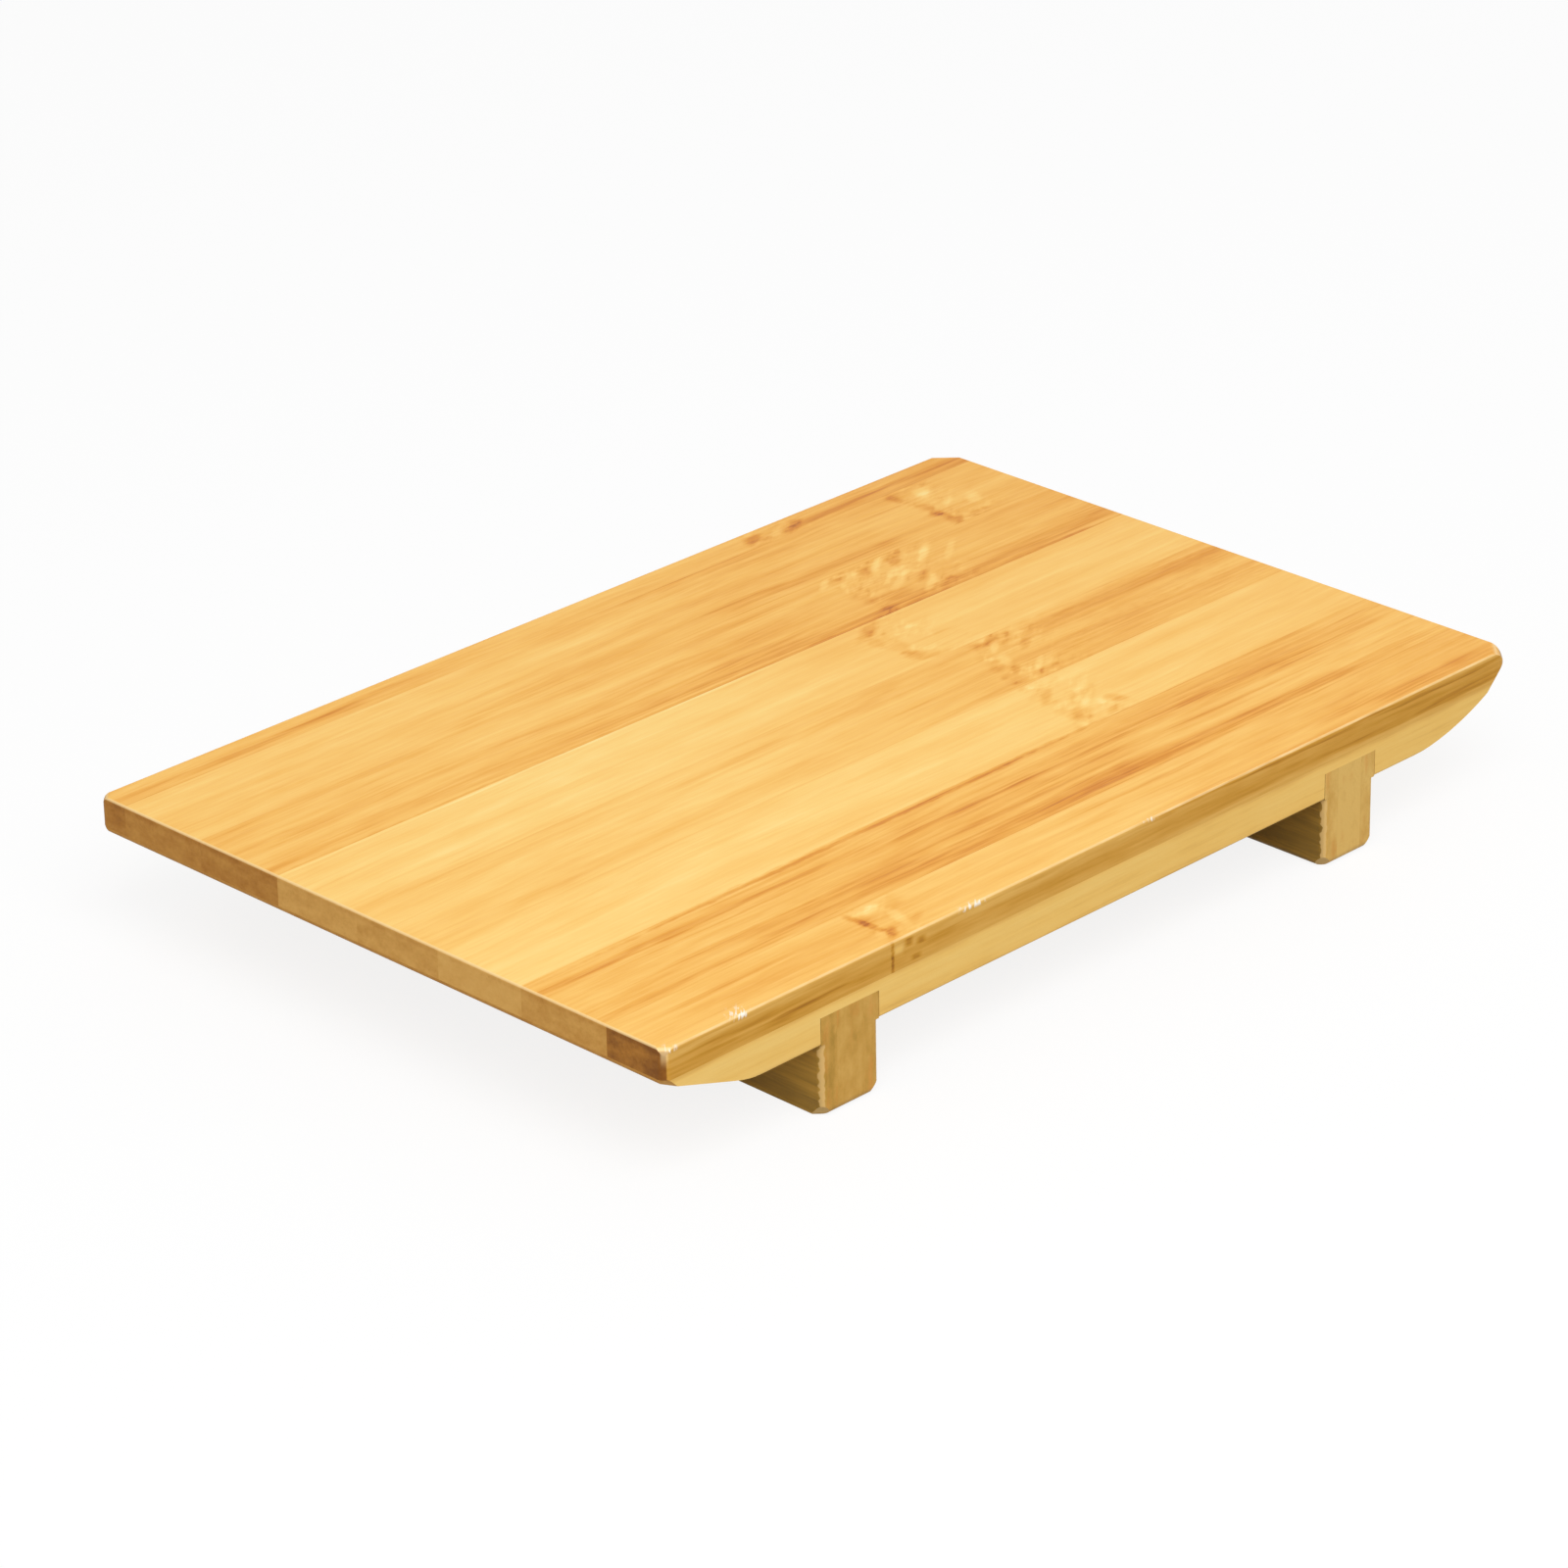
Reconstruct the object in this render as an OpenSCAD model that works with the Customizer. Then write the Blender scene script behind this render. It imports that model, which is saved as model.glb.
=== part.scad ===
// Sushi geta board: a two-ply bamboo serving board on two crossways legs.
// The origin is on the ground, under the middle of the board. +X runs along the board, +Z is up.
// Left is -X, right is +X, the front is -Y and the back is +Y.

/* [Board] */
// Length of the board, end to end
board_l = 244; // [200:0.5:320]
// Width of the board, front to back
board_w = 160; // [120:0.5:220]
// Thickness of the upper ply
top_ply_t = 6.5; // [5:0.1:10]
// Thickness of the lower ply
bottom_ply_t = 8; // [6.5:0.1:10]
// Height of the underside above the ground
foot_h = 15.5; // [10:0.1:40]

/* [Staves] */
// Width of a full stave
stave_w = 22.85; // [16:0.05:30]
// Width of the trimmed stave along the back of the upper ply
top_first_w = 7.8; // [4:0.1:24]
// Width of the trimmed stave along the back of the lower ply
bottom_first_w = 17.5; // [4:0.1:24]
// Narrowest trimmed stave that the front edge may end in
narrowest_w = 4; // [2:0.5:8]

/* [Left end] */
// Height of the upright end face, before its lower arris is rounded
left_end_h = 7.4; // [5:0.1:10]
// Length of the bevel under the end
left_bevel_l = 22.6; // [16:0.1:28]
// Radius where the bevel turns into the underside
left_knee_r = 32; // [5:1:50]
// Radius of the end's lower arris
left_tip_r = 1; // [0.3:0.1:4]
// Radius of the two corners of this end, seen from above
left_corner_r = 1.8; // [1:0.1:8]
// Radius of the round over each upper corner of this end, square to the corner's diagonal
left_nose_r = 1.6; // [0.8:0.1:4]
// How far the cut over each lower corner of this end reaches, up the end face and across the board
left_corner_cut = 2.2; // [1:0.1:5]

/* [Right end] */
// Height of the upright end face, before its lower arris is rounded
right_end_h = 4.3; // [4:0.1:10]
// Length of the bevel under the end
right_bevel_l = 18; // [16:0.1:28]
// Radius where the bevel turns into the underside
right_knee_r = 60; // [5:1:80]
// Radius of the end's lower arris
right_tip_r = 6; // [0.3:0.1:6]
// Radius of the two corners of this end, seen from above
right_corner_r = 3; // [1:0.1:8]
// Radius of the round over each upper corner of this end, square to the corner's diagonal
right_nose_r = 3; // [0.8:0.1:4]
// How far the cut over each lower corner of this end reaches, up the end face and across the board
right_corner_cut = 3; // [1:0.1:5]

/* [Edges] */
// Radius of the board's long arrises, and of the upper arrises of its ends
arris_r = 0.6; // [0.2:0.1:1.5]

/* [Legs] */
// Distance from the left end to the outer face of its leg
left_leg_inset = 40.4; // [38:0.1:60]
// Distance from the right end to the outer face of its leg
right_leg_inset = 43; // [38:0.1:60]
// Thickness of a leg's middle lamination
leg_core_t = 7.1; // [4:0.1:12]
// Thickness of a leg's outer and inner laminations
leg_skin_t = 4.2; // [3:0.1:8]
// How deep a leg is let into the lower ply
dado_depth = 5.8; // [2:0.1:6.2]
// Gap between a leg and each wall of its dado
dado_play = 0.1; // [0.05:0.05:0.3]
// Radius of a leg's four upright arrises, below the board
leg_arris_r = 1.4; // [0.4:0.1:2.5]
// Radius of the arris under each end of a leg
foot_end_r = 1.8; // [0.4:0.1:2.5]
// Radius of the long arris under a leg's outer face
foot_outer_r = 0.4; // [0.2:0.1:2.5]
// Radius of the long arris under a leg's inner face
foot_inner_r = 1.4; // [0.2:0.1:2.5]
// How far the cut over a foot's corner reaches along each of the three edges that meet there
foot_corner_cut = 3.2; // [2:0.1:4]

/* [Hidden] */
$fn = 96;

// How far a cut runs past the surface that it opens
overrun = 1;

// How far each way a corner's cutter spreads, in shares of the cut's reach
cut_spread = 4;

// Heights above the ground
under_z = foot_h;
ply_seam_z = under_z + bottom_ply_t;
top_z = ply_seam_z + top_ply_t;
leg_top_z = under_z + dado_depth;

leg_t = leg_core_t + 2 * leg_skin_t;

top_staves = stave_count(top_first_w);
bottom_staves = stave_count(bottom_first_w);

sides = ["left", "right"];
layers = ["outer", "core", "inner"];

// Oiled bamboo, from the back of the board to its front
top_tints = ["#E2A552", "#EDBC6B", "#E6AE5C", "#F8D086", "#F2C274", "#FBD88C", "#E3A453", "#EFBE6E"];
bottom_tints = ["#DDB468", "#E3BC72", "#D8AC5E", "#E6C078", "#DEB469", "#E2BA70", "#DAB064", "#E2BC6C"];
layer_tints = ["#B98F4C", "#C89A5B", "#BC8A49"];

function stave_name(ply, i) = str(ply, "_stave_", i);
function lamination_name(side, layer) = str(side, "_leg_", layer, "_lamination");

function leg_inset(side) = side == "left" ? left_leg_inset : right_leg_inset;

// How much of the underside is flat between an end's bevel and the dado of its leg
function flat_l(side, bevel_l) = leg_inset(side) - dado_play - bevel_l;

// A ply is one trimmed stave at the back, full staves, and what is left at the front.
function stave_count(first_w) = 2 + floor((board_w - first_w - narrowest_w) / stave_w);

// Back face of stave i, counted from 1 at the back edge
function seam_y(i, first_w) = board_w / 2 - (i == 1 ? 0 : first_w + (i - 2) * stave_w);

function unit(v) = v / norm(v);
function tangent_l(r, angle) = r / tan(angle / 2);

// The largest radius up to r whose tangents stay within the room along both sides of a corner
function fitted_r(r, angle, room) = min(r, room * tan(angle / 2));

// What rounding takes off the corner p, whose two sides run in the directions a and b
module corner_waste(p, a, b, r) {
    angle = acos(a * b);
    bisector = unit(a + b);
    reach = tangent_l(r, angle);
    centre = p + bisector * r / sin(angle / 2);
    difference() {
        polygon([p - bisector * overrun, p + a * reach, centre, p + b * reach]);
        translate(centre) circle(r = r);
    }
}

// A rectangle between two corners, rounded by radii that start at low and go anticlockwise
module eased_rect(low, high, radii) {
    corners = [low, [high.x, low.y], high, [low.x, high.y]];
    along = [[1, 0], [0, 1], [-1, 0], [0, -1]];
    difference() {
        translate(low) square(high - low);
        for (i = [0 : 3])
            if (radii[i] > 0) corner_waste(corners[i], along[i], -along[(i + 3) % 4], radii[i]);
    }
}

// What is built for the left end stays there, or is mirrored to the right end
module at_end(side) {
    if (side == "right") mirror([1, 0, 0]) translate([-board_l / 2, 0, 0]) children();
    else translate([-board_l / 2, 0, 0]) children();
}

// What the bevel and its rounds take off one end, seen from the front, with the end face at x = 0.
// The knee's round ends within flat_l of the bevel.
module end_waste(end_h, bevel_l, knee_r, tip_r, flat_l) {
    tip = [0, top_z - end_h];
    knee = [bevel_l, under_z];
    bevel = norm(knee - tip);
    down_bevel = unit(knee - tip);
    tip_angle = acos(down_bevel * [0, 1]);
    knee_angle = acos(-down_bevel * [1, 0]);
    tip_fit = fitted_r(tip_r, tip_angle, min(bevel / 2, end_h - arris_r));
    knee_fit = fitted_r(knee_r, knee_angle, min(bevel - tangent_l(tip_fit, tip_angle), flat_l));
    polygon([tip, knee, knee - [0, overrun], [-overrun, under_z - overrun], tip - [overrun, 0]]);
    corner_waste(knee, -down_bevel, [1, 0], knee_fit);
    corner_waste(tip, [0, 1], down_bevel, tip_fit);
}

// The board seen from the front
module side_outline() {
    difference() {
        eased_rect([-board_l / 2, under_z], [board_l / 2, top_z], [0, 0, arris_r, arris_r]);
        at_end("left")
            end_waste(left_end_h, left_bevel_l, left_knee_r, left_tip_r, flat_l("left", left_bevel_l));
        at_end("right")
            end_waste(right_end_h, right_bevel_l, right_knee_r, right_tip_r,
                flat_l("right", right_bevel_l));
    }
}

// The board seen from above
module plan_outline() {
    eased_rect(
        [-board_l / 2, -board_w / 2], [board_l / 2, board_w / 2],
        [left_corner_r, right_corner_r, right_corner_r, left_corner_r]
    );
}

// The board seen from one end
module end_outline() {
    eased_rect([-board_w / 2, under_z], [board_w / 2, top_z], [arris_r, arris_r, arris_r, arris_r]);
}

// What a flat cut over the lower corner at the origin takes off, square to the corner's diagonal,
// where the solid lies on the positive side of all three axes, or a little below them
module corner_cut(reach) {
    depth = reach / norm([1, 1, 1]);
    tilt = acos(-1 / norm([1, 1, 1]));
    spread = cut_spread * reach;
    rotate([0, tilt, 225]) translate([-spread, -spread, -depth])
        cube([2 * spread, 2 * spread, depth + overrun]);
}

// What a round over the upper arris of a corner takes off, square to the corner's diagonal. The corner
// is at the origin, upright, with its own radius, and the solid is on the positive side of x and y.
module nose_waste(corner_r, nose_r) {
    inset = corner_r * (norm([1, 1]) - 1);
    rotate([90, 0, 45]) linear_extrude(4 * (inset + nose_r), center = true)
        corner_waste([inset, 0], [1, 0], [0, -1], nose_r);
}

// What the cut below one corner of an end and the round above it take off, with the corner's top at
// the origin
module end_corner_waste(end_h, cut, corner_r, nose_r) {
    translate([0, 0, -end_h]) corner_cut(cut);
    nose_waste(corner_r, nose_r);
}

// What is built at the front is also mirrored to the back
module front_and_back() {
    children();
    mirror([0, 1, 0]) children();
}

// The whole board's outside, as it is shaped after both plies are glued up
module board_form() {
    difference() {
        intersection() {
            rotate([90, 0, 0]) linear_extrude(board_w + 2 * overrun, center = true) side_outline();
            rotate([90, 0, 90]) linear_extrude(board_l + 2 * overrun, center = true) end_outline();
            linear_extrude(top_z + overrun) plan_outline();
        }
        front_and_back() translate([0, -board_w / 2, top_z]) {
            at_end("left") end_corner_waste(left_end_h, left_corner_cut, left_corner_r, left_nose_r);
            at_end("right") end_corner_waste(right_end_h, right_corner_cut, right_corner_r, right_nose_r);
        }
    }
}

// One stave of the board, between two heights, with its seams square to the plies
module stave(i, count, first_w, low_z, high_z) {
    back = seam_y(i, first_w) + (i == 1 ? overrun : 0);
    front = i == count ? -board_w / 2 - overrun : seam_y(i + 1, first_w);
    intersection() {
        board_form();
        translate([-board_l / 2 - overrun, front, low_z])
            cube([board_l + 2 * overrun, back - front, high_z - low_z]);
    }
}

module top_stave(i) {
    color(top_tints[(i - 1) % len(top_tints)])
        stave(i, top_staves, top_first_w, ply_seam_z, top_z + overrun);
}

// The groove for one leg, across the whole underside
module dado(side) {
    translate([leg_inset(side) - dado_play, -board_w / 2 - overrun, under_z - overrun])
        cube([leg_t + 2 * dado_play, board_w + 2 * overrun, dado_depth + overrun]);
}

module bottom_stave(i) {
    color(bottom_tints[(i - 1) % len(bottom_tints)])
        difference() {
            stave(i, bottom_staves, bottom_first_w, under_z - overrun, ply_seam_z);
            for (side = sides) at_end(side) dado(side);
        }
}

// A leg's outside, with its outer face at x = 0. Its ends are flush with the board's long sides.
module leg_form() {
    intersection() {
        union() {
            linear_extrude(foot_h)
                eased_rect([0, -board_w / 2], [leg_t, board_w / 2], [for (i = [0 : 3]) leg_arris_r]);
            translate([0, -board_w / 2, under_z]) cube([leg_t, board_w, dado_depth]);
        }
        rotate([90, 0, 0]) linear_extrude(board_w + 2 * overrun, center = true)
            eased_rect([0, 0], [leg_t, leg_top_z], [foot_outer_r, foot_inner_r, 0, 0]);
        rotate([90, 0, 90]) linear_extrude(leg_t)
            eased_rect([-board_w / 2, 0], [board_w / 2, leg_top_z], [foot_end_r, foot_end_r, 0, 0]);
    }
}

// What the cuts over the four corners of a foot take off
module foot_corner_waste() {
    front_and_back() translate([0, -board_w / 2, 0]) {
        corner_cut(foot_corner_cut);
        translate([leg_t, 0, 0]) mirror([1, 0, 0]) corner_cut(foot_corner_cut);
    }
}

// One lamination of a leg, glued face to face with the next
module leg_lamination(side, layer) {
    start = layer == "outer" ? 0 : layer == "core" ? leg_skin_t : leg_skin_t + leg_core_t;
    thickness = layer == "core" ? leg_core_t : leg_skin_t;
    color(layer_tints[search([layer], layers)[0]])
        at_end(side) translate([leg_inset(side), 0, 0]) difference() {
            intersection() {
                leg_form();
                translate([start, -board_w / 2 - overrun, -overrun])
                    cube([thickness, board_w + 2 * overrun, leg_top_z + 2 * overrun]);
            }
            foot_corner_waste();
        }
}

for (i = [1 : top_staves])
    top_stave(i);
for (i = [1 : bottom_staves])
    bottom_stave(i);
for (side = sides) for (layer = layers)
    leg_lamination(side, layer);
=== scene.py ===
"""Looks of a sushi geta board: two plies of bamboo staves on two laminated legs.

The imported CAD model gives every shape. This script adds the camera, the light, the floor, and one
procedural bamboo material for each stave and each lamination. The materials work in millimetres in
the part's own frame: x along the board, y from its front to its back, z up from the ground.
A tone is a place on a row of colours, from 0 for the palest to 1 for the darkest.
"""
import math
from typing import NamedTuple

import bpy
from mathutils import Matrix, Vector

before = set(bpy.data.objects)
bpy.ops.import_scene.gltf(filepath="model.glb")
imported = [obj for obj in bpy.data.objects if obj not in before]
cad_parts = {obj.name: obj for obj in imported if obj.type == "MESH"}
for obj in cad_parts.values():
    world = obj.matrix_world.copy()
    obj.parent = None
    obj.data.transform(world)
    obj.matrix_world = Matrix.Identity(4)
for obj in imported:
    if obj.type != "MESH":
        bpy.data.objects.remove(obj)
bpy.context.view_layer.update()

MM = 0.001

# Camera, solved from the four corners of the board's top face
CAMERA_SPOT = (-789.23, -782.45, 538.93)  # mm
CAMERA_TURN = -44.865  # degrees; 0 looks along +y
CAMERA_DROP = 25.208  # degrees that it looks down
CAMERA_ROLL = 1.078  # degrees
CAMERA_LENS = 138.77  # mm
CAMERA_SENSOR = 36  # mm
CAMERA_CLIP = (0.01, 100)  # m

# Light. A share of 1 on a face renders its colour as it is written.
AMBIENT_SHARE = 0.42
KEY = ((-0.35, -0.60, 0.85), 0.775)
FILL = ((0.75, 0.60, 0.35), 0.15)
LAMP_AWAY = 1.6  # m
LAMP_SIDE = 1.3  # m
BOUNCE_GREY = 0.50
FLOOR_WHITE = 1.0
SHADOW_DEPTH = 0.15
FLOOR_SIDE = 9000  # mm

# Oiled bamboo on the board's faces, from pale straw to a dark fibre
FACE_TONES = (
    (0.00, "#FFE294"), (0.20, "#FED57D"), (0.35, "#FCCA6E"), (0.50, "#F8BF5F"),
    (0.65, "#F1B04D"), (0.80, "#E49A35"), (0.92, "#D58328"), (1.00, "#B8681C"),
)
# The same bamboo where a stave was sawn along its edge
EDGE_TONES = (
    (0.00, "#FAD078"), (0.25, "#F6C76B"), (0.45, "#E6B45C"), (0.65, "#DAA246"),
    (0.80, "#CD9331"), (0.92, "#B87C26"), (1.00, "#9A6420"),
)
# Across the fibres, where oil soaks in
END_TONES = (
    (0.00, "#F2BE69"), (0.25, "#E9B15C"), (0.50, "#D49846"), (0.75, "#BC7D30"), (1.00, "#8C551C"),
)
# The legs, on their faces and on their ends
LEG_TONES = (
    (0.00, "#E6BC69"), (0.30, "#D9AB58"), (0.55, "#CD9D49"), (0.80, "#B68C3A"), (1.00, "#8A6A2A"),
)
# Pale cream on the upper ply's arrises and near corner: partly wear, partly a painted highlight
ARRIS_HIGHLIGHT_AND_WEAR = "#FFDDA0"
# A painted highlight along the legs' upright arrises
LEG_ARRIS_HIGHLIGHT = "#E6C07C"
LEG_ORANGE = "#D8903F"
WORN_WHITE = "#FFFBEF"


class Layer(NamedTuple):
    """Noise: its grain in mm along and across the fibres, and how far it moves what it is added to.

    salt only picks a part of the noise, so that no two layers agree.
    """
    length: float
    width: float
    depth: float
    detail: float = 2.0
    salt: float = 0.0


class Step(NamedTuple):
    """A change of tone by depth: none at start, and complete at stop."""
    start: float
    stop: float
    depth: float


class Chips(NamedTuple):
    """Short dashes, turned away from the fibres by an angle in degrees. Their sizes are in mm."""
    turn: float
    length: float
    width: float
    depth: float
    salt: float


class Arris(NamedTuple):
    """Where the round between two faces shows: by how far the surface is turned, and by its place.

    The round sets in over turning, is over at the end of turned, and lies where beside has risen.
    """
    turning: tuple
    turned: tuple
    beside: tuple


class Knuckle(NamedTuple):
    """A node of the culm: a ragged dark line across a stave, and a field of chips to its right.

    lean is how far the line moves along the stave for each mm across it.
    """
    line_x: float
    reach: float
    strength: float = 1.0
    lean: float = 0.0


class Streak(NamedTuple):
    """A darker band along a stave. Where it lies across the stave is y on a face and z on an edge."""
    at: float
    half: float
    start: float
    stop: float
    depth: float
    fade: float = 8.0


class Patch(NamedTuple):
    """One stroke or blotch at a culm node: its middle and half sizes in mm, its turn in degrees."""
    x: float
    y: float
    half_l: float
    half_w: float
    turn: float
    depth: float


class Wear(NamedTuple):
    """A spot of the near arris where the surface is scuffed white."""
    x: float
    half: float
    reach: float


class Stave(NamedTuple):
    """What sets one stave of the upper ply apart from the rest. Tones are places on FACE_TONES."""
    tones: tuple
    contrast: float = 1.0
    end_tone: float = 0.5
    knuckles: tuple = ()
    streaks: tuple = ()
    patches: tuple = ()


# Noise is stretched to lie mostly between -1 and 1
NOISE_GAIN = 4.0

# How much each piece's seed and each layer's salt shift the noise, along, across and through
SEED_STEPS = (3.7, 1.9, 1.0)
SALT_STEPS = (1.0, -1.0, 2.3)
BOTTOM_SEED = 20.0
LEG_SEED = 40.0

# The figure: broad flowing bands, bundles of fibres, single threads, dark lines and clouds
FLOW = Layer(110, 5.0, 0.11, 2.0, 1.0)
BUNDLES = Layer(48, 1.8, 0.09, 3.0, 2.0)
THREADS = Layer(11, 0.55, 0.075, 3.0, 3.0)
LINES = Layer(34, 1.2, 0.09, 1.0, 4.0)
CLOUDS = Layer(12, 5.0, 0.05, 2.0, 5.0)
# The dark lines show where their own noise is high and the band under them is dark
LINES_HIGH = (0.35, 0.95)
LINES_IN_DARK = (-0.2, 0.6)

# How far the fibres bend from straight, in mm
SLOW_BEND = Layer(90, 22, 0.9, 1.0)
QUICK_BEND = Layer(26, 7, 0.25, 1.0)

# Streaks: their ragged sides and their sway in mm, their uneven strength, and their soft sides
STREAK_RAGGED = Layer(24, 1.4, 1.0, 2.0, 20.0)
RAGGED_LEAST = 0.35  # mm
RAGGED_SHARE = 0.45  # of the half width, on top
STREAK_SWAY = Layer(60, 30, 0.6, 1.0, 22.0)
STREAK_UNEVEN = Layer(26, 0.7, 0.55, 2.0, 25.0)
STREAK_LEVEL = 0.85
STREAK_SOFT = 0.25  # mm beyond the half width
STREAK_CORE = 0.3  # of the half width, at full depth

# The dark line of a culm node: how it wanders in mm, its soft half width, and where it is whole
NODE_SALT = 40.0
LINE_WANDER_GRAIN = 8  # mm
LINE_WANDER = 2.2  # mm
LINE_SHAKE = Layer(6, 3.5, 1.3, 1.0)
LINE_SIDE = (3.0, 0.0)
LINE_BREAKS = 0.28  # per mm
LINE_WHOLE = (-0.7, 0.5)
LINE_DEPTH = 0.14

# The field of chips beside that line: how it starts and fades in mm, where it is filled, its chips
FIELD_START = (-3.0, 1.5)
FIELD_FADE = 5  # mm beyond its reach
FIELD_FULL = 0.4  # of its reach
FIELD_GAPS = Layer(11, 7, 1.0)
FIELD_FILLED = (-0.8, 0.4)
NODE_CHIPS = (
    Chips(36, 9.0, 2.6, 0.66, NODE_SALT), Chips(-24, 8.0, 2.6, 0.36, NODE_SALT + 7),
    Chips(32, 4.0, 1.5, 0.18, NODE_SALT + 4),
)
CHIP_DEEP = 2.5  # mm
PALE_CHIPS = Step(0.0, 0.65, -0.24)
DARK_CHIPS = Step(0.0, -0.85, 0.28)

# How much the strokes and blotches of a culm node are widened, deepened and roughened
PATCH_SIZE = 1.2
PATCH_DEPTH = 1.1
PATCH_RAGGED = Layer(3.6, 1.3, 0.30, 2.0, 33.0)
PATCH_EDGE = (1.35, 0.35)  # shares of the half sizes

# Glue lines: how far from a stave's seams they reach in mm, and how uneven and how dark they are
GLUE_REACH = (0.45, 0.05)
GLUE_UNEVEN = Layer(18, 3.0, 0.5, 2.0, 14.0)
GLUE_LEVEL = 0.7
TOP_GLUE = 0.10
BOTTOM_GLUE = 0.18

# Satin oil: its roughness, its gloss, and the bump that fibres and darker marks make
ROUGHNESS = Layer(20, 0.7, 0.06, 2.0, 11.0)
ROUGHNESS_LEVEL = 0.55
OIL_IOR = 1.45
OIL_GLOSS = 0.2
BUMP_FIBRES = Layer(30, 0.6, -0.5, 2.0, 2.0)
BUMP_RELIEF = -2.0
BUMP_STRENGTH = 0.35
BUMP_REACH = 0.06  # mm

# End grain: clouds, slanting smears and the dots of the fibre bundles, in mm and in tone
SLICE_STEP = 5
CLOUD_GRAIN, CLOUD_DETAIL, CLOUD_DEPTH = (4.5, 2.6, 1), 3.0, 0.13
SMEAR_TURN, SMEAR_DEPTH = 40, 0.05
DOT_GRAIN, DOT_RANDOM, DOT_DEPTH = (0.8, 0.65, 1), 0.9, 0.05
DOT_EDGE = (0.40, 0.15)

# How far a surface is turned, as a share of its normal, where one look gives way to the next
TURNED_ASIDE = (0.45, 0.62)
NOT_UPWARD = (0.75, 0.60)
LEG_END_TURNED = (0.6, 0.85)
FOOT_TURNED = (0.75, 0.95)

# The upper ply's sawn sides, by height in mm, and paler low down towards the right end
TOP_EDGE_TONE = 0.52
EDGE_LOWER = Step(29.6, 25.6, 0.18)
EDGE_LOWEST = Step(25.0, 23.6, -0.03)
EDGE_FAR = (-10, 60)
EDGE_FAR_HEIGHTS = (24.2, 25.2)
EDGE_FAR_DEPTH = 0.24

# The upper ply's ends: darker under the arris, and at the near corner
END_UNDER_ARRIS = Step(28.2, 29.2, 0.08)
END_NEAR = Step(-73.0, -78.5, 0.14)

# Pale arrises and the near corner, partly wear and partly a painted highlight, with how strongly that
# paleness shows along them
END_ARRIS = Arris((0.15, 0.40), (0.99, 0.88), (29.35, 29.6))
END_ARRIS_SHARE = 0.70
LONG_ARRIS = Arris((0.12, 0.40), (0.98, 0.82), (29.45, 29.7))
ARRIS_SHEEN_AND_WEAR = Layer(9, 6, 0.35, 2.0, 60.0)
ARRIS_SHEEN_AND_WEAR_LEVEL = 0.60
CORNER_TURNED = (0.22, 0.50)
CORNER_HEIGHTS = (25.5, 29.0)
CORNER_SHARE = 0.7

# The lower ply's sawn sides
BOTTOM_EDGE_TONE = 0.18
BOTTOM_EDGE_CONTRAST = 1.2
# Painted shade along the top of the lower ply's sides, darker up to the seam under the upper ply
BOTTOM_EDGE_SHADE = Step(22.1, 23.5, 0.22)
BOTTOM_END_TONE = 0.55

# The legs' ends: upright bands, patches and a warm stain, in mm and in tone, and the painted highlight on
# their arrises
BAND_GRAIN, BAND_DEPTH = (26, 1.5), 0.12
LEG_PATCH_GRAIN, LEG_PATCH_DETAIL, LEG_PATCH_DEPTH = (1, 6, 3), 3.0, 0.17
WARM_GRAIN, WARM_SALT, WARM_RANGE, WARM_SHARE = (1, 8, 2.4), 3.0, (0.1, 1.0), 0.45
LEG_ARRIS = Arris((0.30, 0.42), (0.97, 0.90), (0.08, 0.20))
LEG_ARRIS_GRAIN, LEG_ARRIS_RAGGED, LEG_ARRIS_SALT = 1.6, 0.16, 3.0
LEG_ARRIS_SHARE = 0.75

BOARD_L = 244  # mm
LEFT_END = -BOARD_L / 2
RIGHT_END = BOARD_L / 2

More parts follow.
